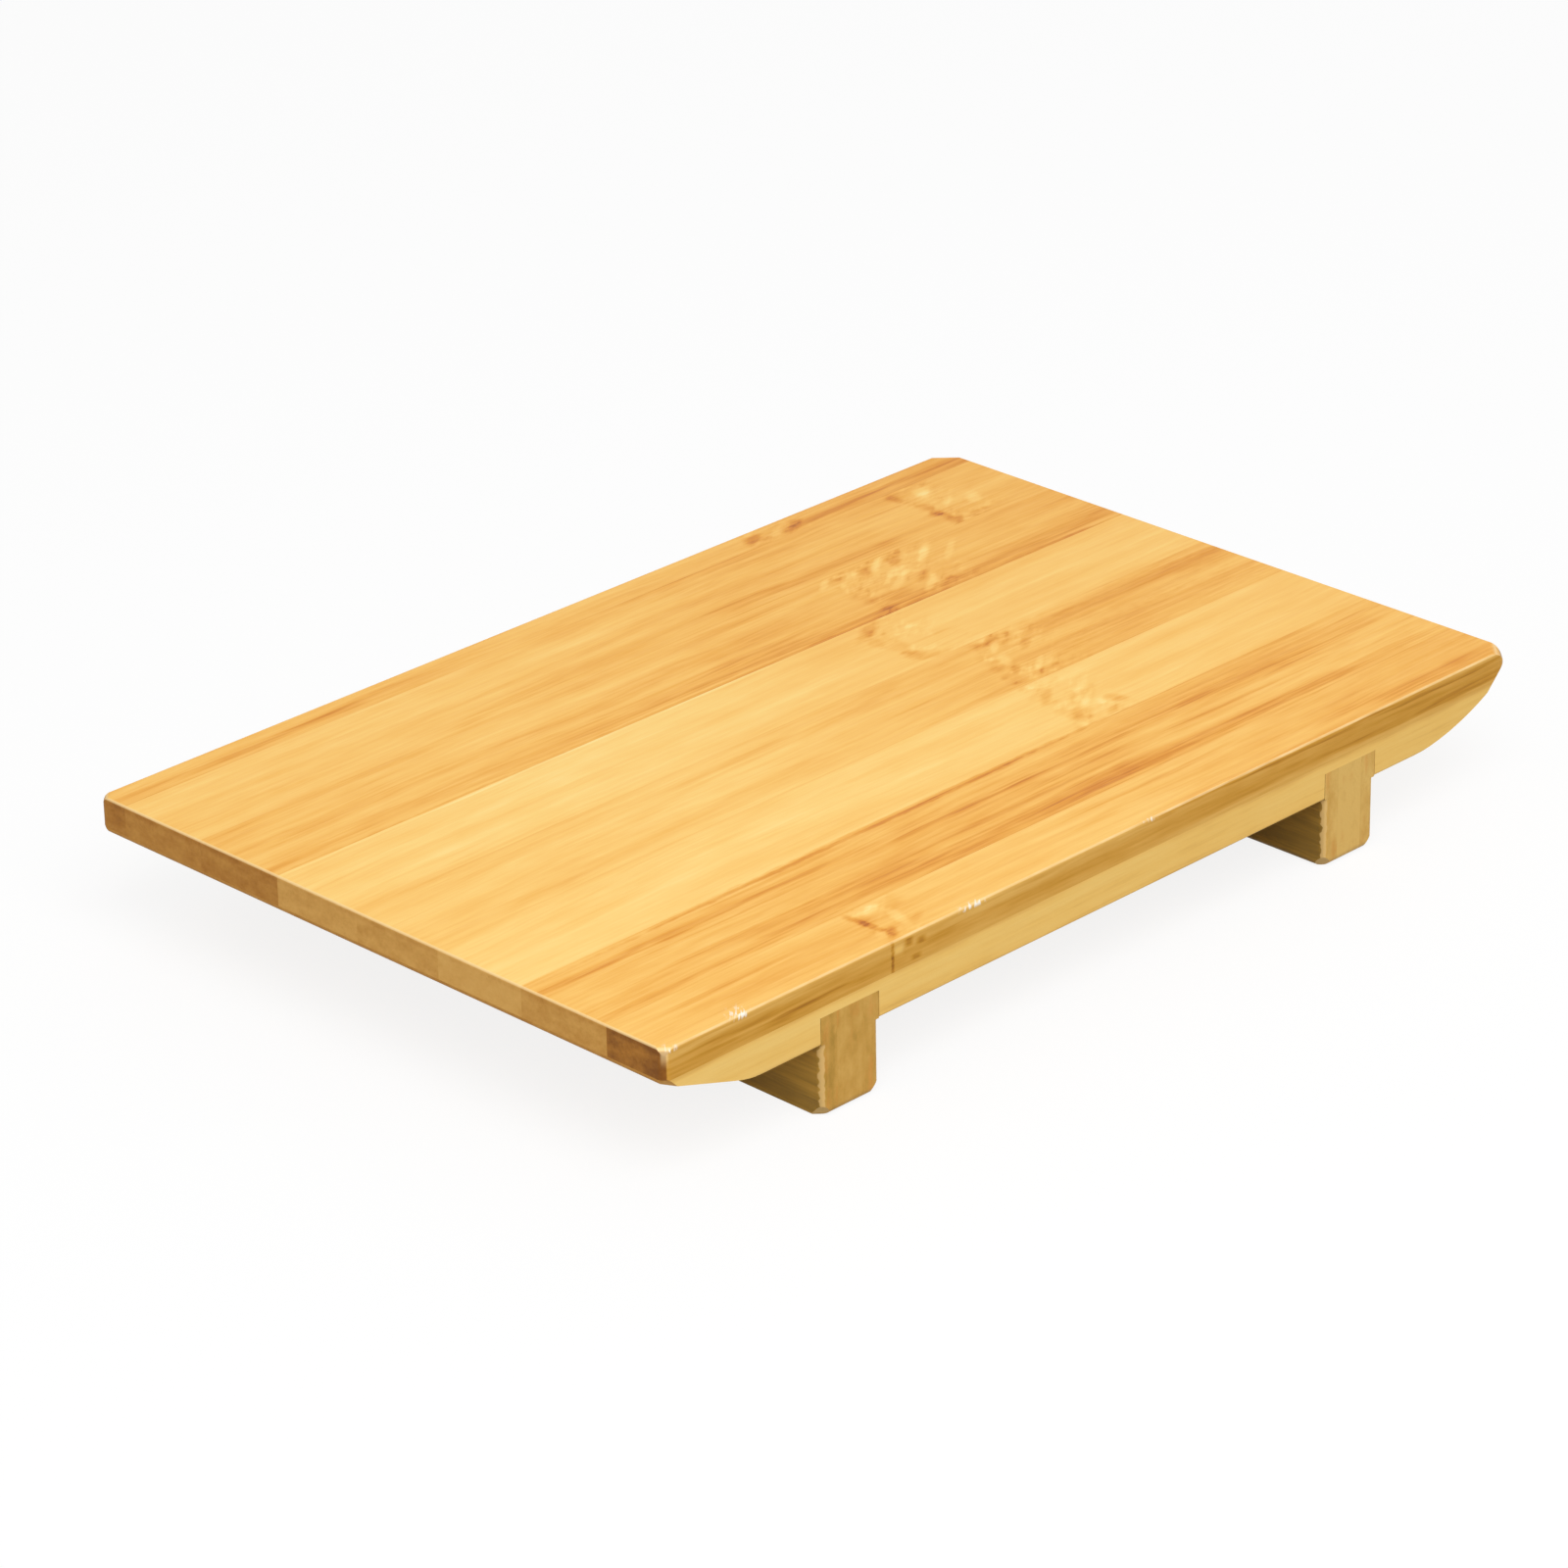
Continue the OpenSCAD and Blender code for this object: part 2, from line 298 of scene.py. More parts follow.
# The upper ply, from the back of the board to its front. Tones run from the left end to the right.
TOP_STAVES = (
    Stave((0.55, 0.55, 0.52, 0.46, 0.54, 0.68, 0.72), 1.0, 0.72,
          knuckles=(Knuckle(56, 17, 0.8),),
          streaks=(Streak(75.4, 1.2, LEFT_END, -58, 0.18), Streak(74.6, 1.2, 66, RIGHT_END, 0.18)),
          patches=(Patch(57.2, 76.2, 2.8, 1.5, 20, 0.24), Patch(69.5, 75.8, 2.4, 1.3, 30, 0.20),
                   Patch(63.0, 75.0, 3.0, 0.9, 25, -0.20))),
    Stave((0.38, 0.40, 0.58, 0.52), 1.0, 0.60,
          knuckles=(Knuckle(94.5, 13, 1.0),),
          streaks=(Streak(51.2, 1.1, 93, 105, 0.16, 2.0), Streak(51.6, 0.6, -53, -4, 0.16),
                   Streak(54.0, 3.0, -60, 2, 0.08), Streak(53.5, 2.6, 24, 80, 0.14),
                   Streak(68.0, 0.6, 45, 64, 0.12)),
          patches=(Patch(95.2, 57.5, 6.0, 1.4, 86, 0.12), Patch(94.2, 69.0, 2.6, 1.2, 80, 0.12),
                   Patch(95.2, 52.2, 2.0, 1.4, 0, 0.10), Patch(101.0, 67.2, 3.2, 1.8, 60, -0.22),
                   Patch(107.0, 57.4, 2.6, 1.5, 50, -0.22), Patch(101.5, 60.0, 2.2, 1.0, 30, -0.14))),
    Stave((0.50, 0.48, 0.60, 0.66), 1.05, 0.65,
          knuckles=(Knuckle(51, 32, 1.15, 0.25),),
          streaks=(Streak(48.0, 0.6, -94, -62, 0.12), Streak(31.0, 3.2, LEFT_END, RIGHT_END, 0.12),
                   Streak(28.8, 1.2, -82, RIGHT_END, 0.12)),
          patches=(Patch(20.0, 26.9, 110, 0.5, 0, 0.18), Patch(60.8, 46.4, 3.0, 1.6, 70, 0.20),
                   Patch(69.4, 46.0, 3.2, 1.5, 60, 0.24),
                   Patch(64.6, 46.4, 3.6, 0.8, 38, -0.24), Patch(77.4, 44.2, 5.2, 0.9, 37, -0.22),
                   Patch(82.0, 41.0, 4.6, 0.8, 37, -0.16), Patch(50.2, 47.6, 3.2, 0.7, 35, -0.20),
                   Patch(57.0, 32.2, 4.2, 2.0, 0, 0.12), Patch(66.0, 31.4, 4.0, 0.8, 35, -0.22),
                   Patch(62.0, 37.0, 4.5, 0.9, 30, -0.18), Patch(68.0, 35.6, 3.0, 1.0, 30, 0.14))),
    Stave((0.26, 0.25, 0.40, 0.42), 0.85, 0.29,
          knuckles=(Knuckle(38, 14, 0.9),),
          streaks=(Streak(26.1, 0.4, -118, 10, -0.20), Streak(4.3, 0.8, LEFT_END, -70, 0.12),
                   Streak(12.2, 0.3, 40, 51, 0.16, 3.0), Streak(9.6, 0.3, 41, 53, 0.16, 3.0),
                   Streak(7.2, 0.3, 42, 52, 0.14, 3.0)),
          patches=(Patch(38.6, 23.4, 5.0, 1.4, 27, 0.19), Patch(35.4, 18.2, 2.4, 1.7, 60, 0.13),
                   Patch(36.6, 13.4, 3.4, 1.9, 96, 0.11), Patch(36.4, 7.8, 2.4, 2.0, 110, 0.19),
                   Patch(40.4, 4.9, 3.2, 1.1, -10, 0.12), Patch(38.6, 10.6, 1.6, 0.6, 35, -0.14))),
    Stave((0.40, 0.38, 0.50, 0.56), 1.0, 0.34,
          knuckles=(Knuckle(44, 20, 1.1, 0.3),),
          streaks=(Streak(-1.5, 0.6, -42, -12, 0.12), Streak(-4.0, 0.5, -44, -16, 0.10),
                   Streak(-12.8, 0.9, -38, -12, 0.12), Streak(-0.5, 4.0, 62, RIGHT_END, 0.07, 3.0),
                   Streak(-12.5, 4.0, 60, RIGHT_END, 0.07, 3.0)),
          patches=(Patch(52.6, 1.6, 3.4, 1.1, 30, 0.18), Patch(50.4, -1.4, 3.0, 0.8, 40, -0.22),
                   Patch(47.0, -7.4, 2.6, 1.2, 60, -0.18), Patch(45.4, -11.8, 2.2, 0.9, 40, 0.20),
                   Patch(50.4, -14.0, 3.2, 0.8, 35, -0.20), Patch(56.4, -4.6, 2.8, 1.0, 35, 0.14),
                   Patch(94.0, -2.5, 33, 4.6, 0, 0.10), Patch(94.0, -13.5, 33, 3.8, 0, 0.08))),
    Stave((0.29, 0.27, 0.33, 0.40), 0.85, 0.20,
          knuckles=(Knuckle(37, 14, 1.2, 0.3),),
          streaks=(Streak(-29.2, 0.5, -106, -82, 0.12),),
          patches=(Patch(-10.0, -41.75, 46, 0.5, 0, 0.34), Patch(38.0, -37.2, 3.4, 2.0, 40, 0.26),
                   Patch(48.6, -37.0, 2.6, 1.6, 110, 0.22),
                   Patch(43.6, -30.6, 3.6, 1.4, 35, 0.20), Patch(39.6, -25.8, 4.0, 1.0, 35, 0.24),
                   Patch(42.4, -34.0, 3.0, 0.8, 35, -0.16), Patch(48.4, -27.2, 4.2, 0.8, 30, -0.10),
                   Patch(44.0, -40.4, 2.2, 1.0, 20, 0.18))),
    Stave((0.54, 0.58, 0.60, 0.54), 1.2, 0.40,
          streaks=(
              Streak(-44.2, 0.9, -78, 6, 0.12), Streak(-47.5, 0.6, -112, -40, 0.15),
              Streak(-50.0, 0.7, -100, 40, 0.13), Streak(-52.0, 3.2, -38, 34, 0.12),
              Streak(-56.5, 0.9, -96, 30, 0.13), Streak(-59.5, 2.6, -50, 30, 0.12),
              Streak(-62.2, 1.8, LEFT_END, RIGHT_END, 0.17), Streak(-49.8, 0.6, 46, RIGHT_END, 0.15),
              Streak(-55.2, 0.6, 20, 90, 0.12)),
          patches=(Patch(-34.0, -42.7, 58, 0.6, 0.4, 0.28),)),
    Stave((0.46, 0.54, 0.47, 0.46, 0.50, 0.54, 0.62), 1.0, 0.83,
          knuckles=(Knuckle(-60, 10, 1.0),),
          streaks=(Streak(-69.0, 0.6, -119, -78, 0.12), Streak(-68.6, 0.6, 0, 46, 0.14),
                   Streak(-75.5, 1.8, 66, 116, 0.14), Streak(-73.0, 0.6, -30, 30, 0.10)),
          patches=(Patch(-60.2, -70.8, 5.6, 0.9, 94, 0.24), Patch(-59.0, -76.8, 2.0, 1.0, 50, 0.18),
                   Patch(-55.2, -67.4, 2.4, 1.0, 20, -0.22), Patch(-53.6, -73.0, 2.8, 1.2, 70, -0.20),
                   Patch(-50.4, -68.0, 3.2, 2.0, 20, 0.16), Patch(-51.4, -76.0, 2.4, 0.9, 30, 0.12))),
)

# On the near long side of the upper ply
SIDE_STREAKS = (
    Streak(27.0, 0.3, LEFT_END, -86, 0.17), Streak(28.1, 0.5, LEFT_END, -82, -0.16),
    Streak(26.0, 0.4, -118, -74, -0.12), Streak(25.1, 0.7, -94, -66, 0.18),
    Streak(28.9, 0.3, -119, -96, 0.10), Streak(28.0, 1.6, -61.6, -59.4, -0.22, 0.6),
    Streak(28.9, 1.0, -58.7, -56.8, 0.36, 0.7), Streak(28.2, 0.9, -55.6, -53.4, 0.32, 1.0),
    Streak(27.4, 0.8, -54.0, -44.0, 0.16, 3.0), Streak(25.0, 0.5, -57.0, -54.6, 0.28, 0.8),
    Streak(26.4, 0.8, -16, 60, 0.10), Streak(25.3, 0.5, 34, RIGHT_END, 0.16),
    Streak(29.2, 0.5, -50, 6, 0.10), Streak(27.4, 0.7, -40, 20, 0.07),
    Streak(27.9, 0.7, 30, 96, 0.07), Streak(29.3, 0.6, 10, RIGHT_END, 0.30),
)

# The thin upright line of a culm node on that side, in mm
SIDE_LINE_X = -62.2
SIDE_LINE = Step(0.65, 0.15, 0.26)
SIDE_LINE_GRAIN = 1.4
SIDE_LINE_WOBBLE = 0.25

# Where the near arris is scuffed white
WORN_SPOTS = (Wear(-102, 3.5, 4.5), Wear(-40, 5.0, 1.6), Wear(10.5, 3.0, 1.0), Wear(-120, 1.8, 2.6))
WORN_CHIPS = Chips(50, 2.2, 0.7, 0.9, 90.0)
WORN_CHIP_EDGE = (0.0, 0.5)
WORN_CORE = 0.3  # of a spot's half length
WORN_HEIGHTS = (28.8, 29.6)

# The lower ply's faces, from the back of the board to its front
BOTTOM_TONES = (0.52, 0.34, 0.46, 0.58, 0.38, 0.54, 0.32, 0.42)
FOOT_TONE = 0.55

# Each leg: its side, the tone of its faces, and the tones of its laminations' ends from the outer one
LEGS = (("left", 0.88, (0.61, 0.46, 0.47)), ("right", 0.98, (0.16, -0.03, 0.16)))
LAMINATIONS = ("outer", "core", "inner")


def linear(code):
    """A colour as the screen shows it, "#RRGGBB", as linear light by the sRGB rule."""
    channels = [int(code[i:i + 2], 16) / 255 for i in (1, 3, 5)]
    return tuple(c / 12.92 if c <= 0.04045 else ((c + 0.055) / 1.055) ** 2.4 for c in channels) + (1.0,)


def per(*sizes):
    """The factors that give noise a grain of these sizes in mm."""
    return tuple(1 / size for size in sizes)


class Graph:
    """Shader nodes of one tree. Each method adds what it names and returns its output socket."""

    def __init__(self, tree):
        self.tree = tree
        tree.nodes.clear()

    def feed(self, socket, value):
        if isinstance(value, bpy.types.NodeSocket):
            self.tree.links.new(value, socket)
        else:
            socket.default_value = value

    def node(self, kind, values=None, **settings):
        node = self.tree.nodes.new("ShaderNode" + kind)
        for name, setting in settings.items():
            setattr(node, name, setting)
        for key, value in (values or {}).items():
            self.feed(node.inputs[key], value)
        return node

    def math(self, operation, *values, clamp=False):
        node = self.node("Math", dict(enumerate(values)), operation=operation, use_clamp=clamp)
        return node.outputs[0]

    def total(self, first, *rest):
        for value in rest:
            first = self.math("ADD", first, value)
        return first

    def product(self, first, *rest):
        for value in rest:
            first = self.math("MULTIPLY", first, value)
        return first

    def smooth(self, value, low, high):
        """Rises smoothly from 0 at low to 1 at high, or falls where low is the greater."""
        flip = low > high
        node = self.node(
            "MapRange",
            {"Value": value, "From Min": min(low, high), "From Max": max(low, high),
             "To Min": 1.0 if flip else 0.0, "To Max": 0.0 if flip else 1.0},
            interpolation_type="SMOOTHSTEP")
        return node.outputs[0]

    def step(self, value, change):
        return self.product(self.smooth(value, change.start, change.stop), change.depth)

    def blend(self, factor, low, high):
        node = self.node("Mix", {0: factor, 2: low, 3: high}, data_type="FLOAT")
        return node.outputs[0]

    def blend_colour(self, factor, low, high):
        node = self.node("Mix", {0: factor, 6: low, 7: high}, data_type="RGBA")
        return node.outputs[2]

    def ramp(self, value, stops):
        node = self.node("ValToRGB", {0: value})
        elements = node.color_ramp.elements
        elements[1].position, elements[1].color = stops[-1][0], linear(stops[-1][1])
        elements[0].position, elements[0].color = stops[0][0], linear(stops[0][1])
        for position, code in stops[1:-1]:
            elements.new(position).color = linear(code)
        return node.outputs[0]

    def scaled(self, vector, factors, shift=(0, 0, 0)):
        node = self.node("VectorMath", {0: vector, 1: factors, 2: shift}, operation="MULTIPLY_ADD")
        return node.outputs[0]

    def join(self, x, y, z):
        return self.node("CombineXYZ", {0: x, 1: y, 2: z}).outputs[0]

    def turned(self, vector, degrees):
        node = self.node("VectorRotate", {"Vector": vector, "Angle": math.radians(degrees)},
                         rotation_type="Z_AXIS")
        return node.outputs[0]

    def noise(self, place, detail=2.0):
        """Centred on 0, and mostly between -1 and 1."""
        node = self.node("TexNoise", {"Vector": place, "Scale": 1.0, "Detail": detail,
                                      "Roughness": 0.5})
        return self.math("MULTIPLY_ADD", node.outputs[0], NOISE_GAIN, -NOISE_GAIN / 2)


class Bamboo:
    """A bamboo material in the making: its graph, and places and directions in the piece's frame.

    along, across and deep are millimetres along the fibres, across the piece's face, and through it.
    low and high are the corners of the piece's box, in the same order.
    """

    def __init__(self, name, axes, seed):
        material = bpy.data.materials.new(name + "_bamboo")
        material.use_nodes = True
        self.material = material
        self.seed = seed
        corners = [Vector(corner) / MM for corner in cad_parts[name].bound_box]
        self.low, self.high = ([pick(corner[i] for corner in corners) for i in axes]
                               for pick in (min, max))
        self.g = g = Graph(material.node_tree)
        spot = g.node("TexCoord")
        millimetres = g.scaled(spot.outputs["Object"], (1 / MM,) * 3)
        places = g.node("SeparateXYZ", {0: millimetres}).outputs
        facing = g.node("SeparateXYZ", {0: spot.outputs["Normal"]}).outputs
        self.along, self.across, self.deep = (places[i] for i in axes)
        self.to_end, self.to_edge, self.to_face = (g.math("ABSOLUTE", facing[i]) for i in axes)
        self.height = places[2]
        self.up = facing[2]
        self.still = g.join(self.along, self.across, self.deep)
        self.fibre = self.swayed()

    def swayed(self):
        """The place, with the fibres bent a little from straight."""
        g = self.g
        slow = self.spread(self.still, SLOW_BEND, (self.seed, 3.1, 7.7))
        quick = self.spread(self.still, QUICK_BEND, (5.3, self.seed, 2.9))
        bent = g.total(self.across, g.product(slow, SLOW_BEND.depth), g.product(quick, QUICK_BEND.depth))
        return g.join(self.along, bent, self.deep)

    def spread(self, place, layer, shift):
        """A layer's noise on a place, centred on 0. The shift only picks a part of the noise."""
        factors = per(layer.length, layer.width, layer.width)
        return self.g.noise(self.g.scaled(place, factors, shift), layer.detail)

    def grain(self, layer):
        """A layer's noise along the bent fibres, centred on 0."""
        shift = tuple(self.seed * by_seed + layer.salt * by_salt
                      for by_seed, by_salt in zip(SEED_STEPS, SALT_STEPS))
        return self.spread(self.fibre, layer, shift)

    def grown(self, layer):
        """A layer's noise times its depth."""
        return self.g.product(self.grain(layer), layer.depth)

    def around(self, level, layer, clamp=False):
        """A level that a layer's noise varies."""
        return self.g.math("MULTIPLY_ADD", self.grain(layer), layer.depth, level, clamp=clamp)

    def figure(self):
        """The plain figure that every piece has, as a change of tone."""
        g = self.g
        flow = self.grain(FLOW)
        lines = g.product(g.smooth(self.grain(LINES), *LINES_HIGH), g.smooth(flow, *LINES_IN_DARK))
        return g.total(g.product(flow, FLOW.depth), self.grown(BUNDLES), self.grown(THREADS),
                       g.product(lines, LINES.depth), self.grown(CLOUDS))

    def with_streaks(self, tone, across, marks):
        """Adds bands along the fibres, ragged at their sides."""
        g = self.g
        ragged = self.grain(STREAK_RAGGED)
        swayed = g.total(across, self.grown(STREAK_SWAY))
        uneven = self.around(STREAK_LEVEL, STREAK_UNEVEN)
        for mark in marks:
            rough = g.product(ragged, RAGGED_LEAST + RAGGED_SHARE * mark.half)
            off = g.math("ABSOLUTE", g.total(swayed, -mark.at, rough))
            core = g.smooth(off, mark.half + STREAK_SOFT, mark.half * STREAK_CORE)
            on = g.smooth(self.along, mark.start - mark.fade, mark.start + mark.fade)
            out = g.smooth(self.along, mark.stop + mark.fade, mark.stop - mark.fade)
            tone = g.total(tone, g.product(core, on, out, uneven, mark.depth))
        return tone

    def chips(self, kind):
        """The noise of one kind of chip, centred on 0."""
        g = self.g
        c, s = math.cos(math.radians(kind.turn)), math.sin(math.radians(kind.turn))
        run = g.total(g.product(self.along, c), g.product(self.across, s))
        rise = g.total(g.product(self.along, -s), g.product(self.across, c))
        place = g.scaled(g.join(run, rise, self.deep), per(kind.length, kind.width, CHIP_DEEP),
                         (self.seed + kind.salt, kind.salt, self.seed * 2))
        return g.noise(place)

    def knuckle(self, mark):
        """The mottled band of one culm node, as a change of tone."""
        g = self.g
        off = self.off_line(mark)
        line = g.smooth(g.math("ABSOLUTE", off), *LINE_SIDE)
        breaks = g.noise(g.join(g.product(self.across, LINE_BREAKS), NODE_SALT, self.seed))
        whole = g.smooth(breaks, *LINE_WHOLE)
        return g.product(
            g.total(self.chip_field(mark, off), g.product(line, whole, LINE_DEPTH)), mark.strength)

    def off_line(self, mark):
        """How far a place is to the right of the culm node's wandering line, in mm."""
        g = self.g
        middle = (self.low[1] + self.high[1]) / 2
        crossing = g.total(self.across, -middle)
        wander = g.noise(g.join(g.product(self.across, 1 / LINE_WANDER_GRAIN),
                                g.product(self.deep, 1 / LINE_WANDER_GRAIN), self.seed + NODE_SALT))
        shake = self.spread(self.still, LINE_SHAKE, (NODE_SALT, self.seed, 4.0))
        return g.total(self.along, -mark.line_x, g.product(crossing, -mark.lean),
                       g.product(wander, LINE_WANDER), g.product(shake, LINE_SHAKE.depth))

    def chip_field(self, mark, off):
        """Pale and dark chips to the right of the culm node's line, as a change of tone."""
        g = self.g
        field = g.product(g.smooth(off, *FIELD_START),
                          g.smooth(off, mark.reach + FIELD_FADE, mark.reach * FIELD_FULL))
        gaps = self.spread(self.still, FIELD_GAPS, (NODE_SALT, 2.0, self.seed))
        filled = g.smooth(gaps, *FIELD_FILLED)
        chips = g.total(*(g.product(self.chips(kind), kind.depth) for kind in NODE_CHIPS))
        return g.product(field, filled, g.total(g.step(chips, PALE_CHIPS), g.step(chips, DARK_CHIPS)))

    def with_patches(self, tone, marks):
        """Adds the single strokes and blotches of a culm node, ragged all round."""
        g = self.g
        ragged = self.grown(PATCH_RAGGED)
        flat = g.join(self.along, self.across, 0.0)
        for mark in marks:
            centre = Matrix.Rotation(math.radians(-mark.turn), 2) @ Vector((mark.x, mark.y))
            sizes = Vector((mark.half_l, mark.half_w)) * PATCH_SIZE
            place = g.scaled(g.turned(flat, -mark.turn), (1 / sizes.x, 1 / sizes.y, 0),
                             (-centre.x / sizes.x, -centre.y / sizes.y, 0))
            off = g.total(g.node("VectorMath", {0: place}, operation="LENGTH").outputs["Value"], ragged)
            tone = g.total(tone, g.product(g.smooth(off, *PATCH_EDGE), mark.depth * PATCH_DEPTH))
        return tone


def drift(wood, tones):
    """The piece's own tone, changing evenly between stations from its left end to its right."""
    g = wood.g
    step = BOARD_L / (len(tones) - 1)
    value = tones[0]
    for i, tone in enumerate(tones[1:]):
        start = LEFT_END + i * step
        value = g.blend(g.smooth(wood.along, start, start + step), value, tone)
    return value


def glue_lines(wood, depth):
    """A thin darker line along both seams of a stave."""
    g = wood.g
    inset = g.math("MINIMUM", g.total(wood.high[1], g.product(wood.across, -1)),
                   g.total(wood.across, -wood.low[1]))
    return g.product(g.smooth(inset, *GLUE_REACH), wood.around(GLUE_LEVEL, GLUE_UNEVEN), depth)


def end_grain(wood, tone, tones):
    """Colour across the fibres: cloudy, with the ends of the fibre bundles as faint dots."""
    g = wood.g
    flat = g.join(wood.across, wood.deep, wood.seed * SLICE_STEP)
    clouds = g.noise(g.scaled(flat, per(*CLOUD_GRAIN)), CLOUD_DETAIL)
    smears = g.noise(g.turned(flat, SMEAR_TURN))
    cells = g.node("TexVoronoi", {"Vector": g.scaled(flat, per(*DOT_GRAIN)), "Scale": 1.0,
                                  "Randomness": DOT_RANDOM})
    dots = g.smooth(cells.outputs["Distance"], *DOT_EDGE)
    value = g.total(tone, g.product(clouds, CLOUD_DEPTH), g.product(smears, SMEAR_DEPTH),
                    g.product(dots, DOT_DEPTH))
    return g.ramp(value, tones)


def by_facing(wood, face, edge, end):
    """The face's, the sawn edge's or the end grain's colour, by which way the surface is turned."""
    g = wood.g
    to_side = g.smooth(wood.to_edge, *TURNED_ASIDE)
    to_tip = g.product(g.smooth(wood.to_end, *TURNED_ASIDE), g.smooth(wood.up, *NOT_UPWARD))
    return g.blend_colour(to_tip, g.blend_colour(to_side, face, edge), end)


def on_arris(g, turned, beside, arris):
    """Where an arris shows, from 0 to 1."""
    return g.product(g.smooth(turned, *arris.turning), g.smooth(turned, *arris.turned),
                     g.smooth(beside, *arris.beside))


def finish(wood, colour, relief):
    """Adds the shader: satin oil, with the fibres felt in the roughness and the bump."""
    g = wood.g
    height = g.total(wood.grown(BUMP_FIBRES), g.product(relief, BUMP_RELIEF))
    bump = g.node("Bump", {"Height": height, "Strength": BUMP_STRENGTH, "Distance": BUMP_REACH * MM})
    shader = g.node("BsdfPrincipled", {
        "Base Color": colour, "Roughness": wood.around(ROUGHNESS_LEVEL, ROUGHNESS),
        "Normal": bump.outputs[0], "IOR": OIL_IOR, "Specular IOR Level": OIL_GLOSS})
    output = g.node("OutputMaterial")
    g.feed(output.inputs["Surface"], shader.outputs[0])
    return wood.material


def dress_top_stave(name, stave, seed, near):
    wood = Bamboo(name, (0, 1, 2), seed)
    g = wood.g
    figure = g.product(wood.figure(), stave.contrast)
    relief = g.total(figure, *(wood.knuckle(mark) for mark in stave.knuckles))
    relief = wood.with_patches(relief, stave.patches)
    tone = g.total(drift(wood, stave.tones), relief, glue_lines(wood, TOP_GLUE))
    face = g.ramp(wood.with_streaks(tone, wood.across, stave.streaks), FACE_TONES)

    edge_tone = top_edge_tone(wood, figure)
    edge = g.ramp(with_side_marks(wood, edge_tone) if near else edge_tone, EDGE_TONES)

    end_tone = g.total(stave.end_tone, g.step(wood.height, END_UNDER_ARRIS))
    if near:
        end_tone = g.total(end_tone, g.step(wood.across, END_NEAR))
    colour = by_facing(wood, face, edge, end_grain(wood, end_tone, END_TONES))

    # The end arris is pale from wear and from a painted highlight
    end_arris = on_arris(g, wood.to_end, wood.height, END_ARRIS)
    colour = g.blend_colour(g.product(end_arris, END_ARRIS_SHARE), colour, linear(ARRIS_HIGHLIGHT_AND_WEAR))
    if near:
        colour = with_near_arris(wood, colour)
    return finish(wood, colour, relief)


def top_edge_tone(wood, figure):
    """The tone of the upper ply's sawn sides: darker downwards, and less so towards the right end."""
    g = wood.g
    paler = g.math("MULTIPLY_ADD", g.smooth(wood.height, *EDGE_FAR_HEIGHTS), EDGE_FAR_DEPTH,
                   -EDGE_FAR_DEPTH)
    return g.total(TOP_EDGE_TONE, figure, g.step(wood.height, EDGE_LOWER),
                   g.step(wood.height, EDGE_LOWEST), g.product(g.smooth(wood.along, *EDGE_FAR), paler))


def with_near_arris(wood, colour):
    """Adds the pale near arris and corners, partly wear and partly a painted highlight, and their white
    scuffs.
    """
    g = wood.g
    # Painted highlight and wear along the near arris and corner, uneven along them
    sheen_and_wear = wood.around(ARRIS_SHEEN_AND_WEAR_LEVEL, ARRIS_SHEEN_AND_WEAR, clamp=True)
    long_arris = on_arris(g, wood.to_edge, wood.height, LONG_ARRIS)
    colour = g.blend_colour(g.product(long_arris, sheen_and_wear), colour, linear(ARRIS_HIGHLIGHT_AND_WEAR))
    corner = g.product(g.smooth(g.math("MINIMUM", wood.to_end, wood.to_edge), *CORNER_TURNED),
                       g.smooth(wood.height, *CORNER_HEIGHTS), sheen_and_wear)
    colour = g.blend_colour(g.product(corner, CORNER_SHARE), colour, linear(ARRIS_HIGHLIGHT_AND_WEAR))
    return g.blend_colour(worn(wood), colour, linear(WORN_WHITE))


def with_side_marks(wood, tone):
    """Adds what the near long side has: its streaks, and the thin upright line of a culm node."""
    g = wood.g
    wobble = g.noise(g.join(g.product(wood.height, 1 / SIDE_LINE_GRAIN), 0.0, wood.seed), 1.0)
    off = g.math("ABSOLUTE", g.total(wood.along, -SIDE_LINE_X, g.product(wobble, SIDE_LINE_WOBBLE)))
    return wood.with_streaks(g.total(tone, g.step(off, SIDE_LINE)), wood.height, SIDE_STREAKS)


def worn(wood):
    """Where the near arris is scuffed white, from 0 to 1."""
    g = wood.g
    from_front = g.total(wood.across, -wood.low[1])
    spots = []
    for spot in WORN_SPOTS:
        off = g.math("ABSOLUTE", g.total(wood.along, -spot.x))
        beside = g.smooth(off, spot.half, spot.half * WORN_CORE)
        spots.append(g.product(beside, g.smooth(from_front, spot.reach, 0.0)))
    scuffed = g.smooth(wood.chips(WORN_CHIPS), *WORN_CHIP_EDGE)
    return g.product(g.math("ADD", g.total(*spots), 0.0, clamp=True), scuffed,
                     g.smooth(wood.height, *WORN_HEIGHTS), WORN_CHIPS.depth)


def dress_bottom_stave(name, seed, tone):
    wood = Bamboo(name, (0, 1, 2), seed)
    g = wood.g
    relief = wood.figure()
    face = g.ramp(g.total(tone, relief, glue_lines(wood, BOTTOM_GLUE)), FACE_TONES)
    # The last term is painted shade under the upper ply
    edge_tone = g.total(BOTTOM_EDGE_TONE, g.product(relief, BOTTOM_EDGE_CONTRAST),
                        g.step(wood.height, BOTTOM_EDGE_SHADE))
    end = end_grain(wood, BOTTOM_END_TONE, END_TONES)
    return finish(wood, by_facing(wood, face, g.ramp(edge_tone, EDGE_TONES), end), relief)


